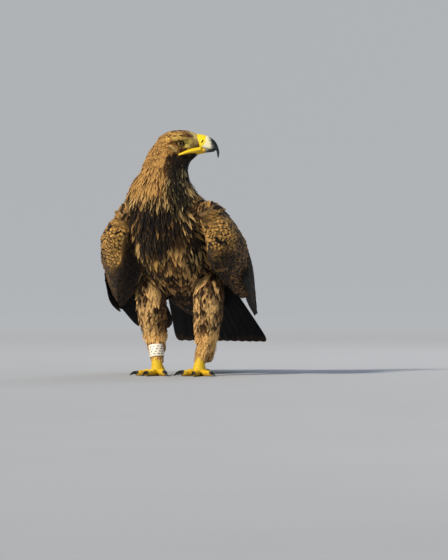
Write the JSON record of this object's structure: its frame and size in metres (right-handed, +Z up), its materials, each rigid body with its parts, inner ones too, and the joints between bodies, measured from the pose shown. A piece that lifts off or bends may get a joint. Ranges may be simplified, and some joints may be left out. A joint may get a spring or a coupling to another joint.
{
  "type": "imperial eagle",
  "caption": "Life-size still imperial eagle in chequered subadult plumage, standing with folded wings and its head turned to its left, with a plain leg ring.",
  "frame": {"origin": "middle of the bounding box's base, on the floor under the bird", "axes": "the bird's body faces -Y, +X is to its left, +Z is up"},
  "size_m": [0.3254, 0.4972, 0.5274],
  "materials": {
    "plumage_tawny": "soft matte tawny feathers with dark centres and streaks",
    "plumage_brown": "soft matte dark brown feathers chequered with tawny",
    "plumage_dark": "near-black flight feathers with a slight gloss and paler tips",
    "horn": "polished blue-black horn, paler grey at the root of the bill",
    "yellow_skin": "bright yellow bare skin, waxy on the cere and scaly on the toes",
    "iris": "clear glossy cornea over a hazel-brown iris and black pupil",
    "ring": null
  },
  "bodies": {
    "root": {"head": "plumage_tawny", "eye_left": "iris", "eye_right": "iris", "cere": "yellow_skin", "bill_upper": "horn", "bill_lower": "horn", "neck": "plumage_tawny", "trunk": "plumage_brown", "rump": "plumage_brown", "tail": "plumage_dark", "scapulars_left": "plumage_brown", "wing_left_coverts": "plumage_tawny", "wing_left_secondaries": "plumage_dark", "wing_left_primaries": "plumage_dark", "thigh_left": "plumage_tawny", "shank_left": "plumage_tawny", "foot_left": "yellow_skin", "toe_left_inner": "yellow_skin", "claw_left_inner": "horn", "toe_left_middle": "yellow_skin", "claw_left_middle": "horn", "toe_left_outer": "yellow_skin", "claw_left_outer": "horn", "toe_left_hind": "yellow_skin", "claw_left_hind": "horn", "scapulars_right": "plumage_brown", "wing_right_coverts": "plumage_tawny", "wing_right_secondaries": "plumage_dark", "wing_right_primaries": "plumage_dark", "thigh_right": "plumage_tawny", "shank_right": "plumage_tawny", "foot_right": "yellow_skin", "toe_right_inner": "yellow_skin", "claw_right_inner": "horn", "toe_right_middle": "yellow_skin", "claw_right_middle": "horn", "toe_right_outer": "yellow_skin", "claw_right_outer": "horn", "toe_right_hind": "yellow_skin", "claw_right_hind": "horn", "leg_ring": "ring"}
  },
  "joints": []
}
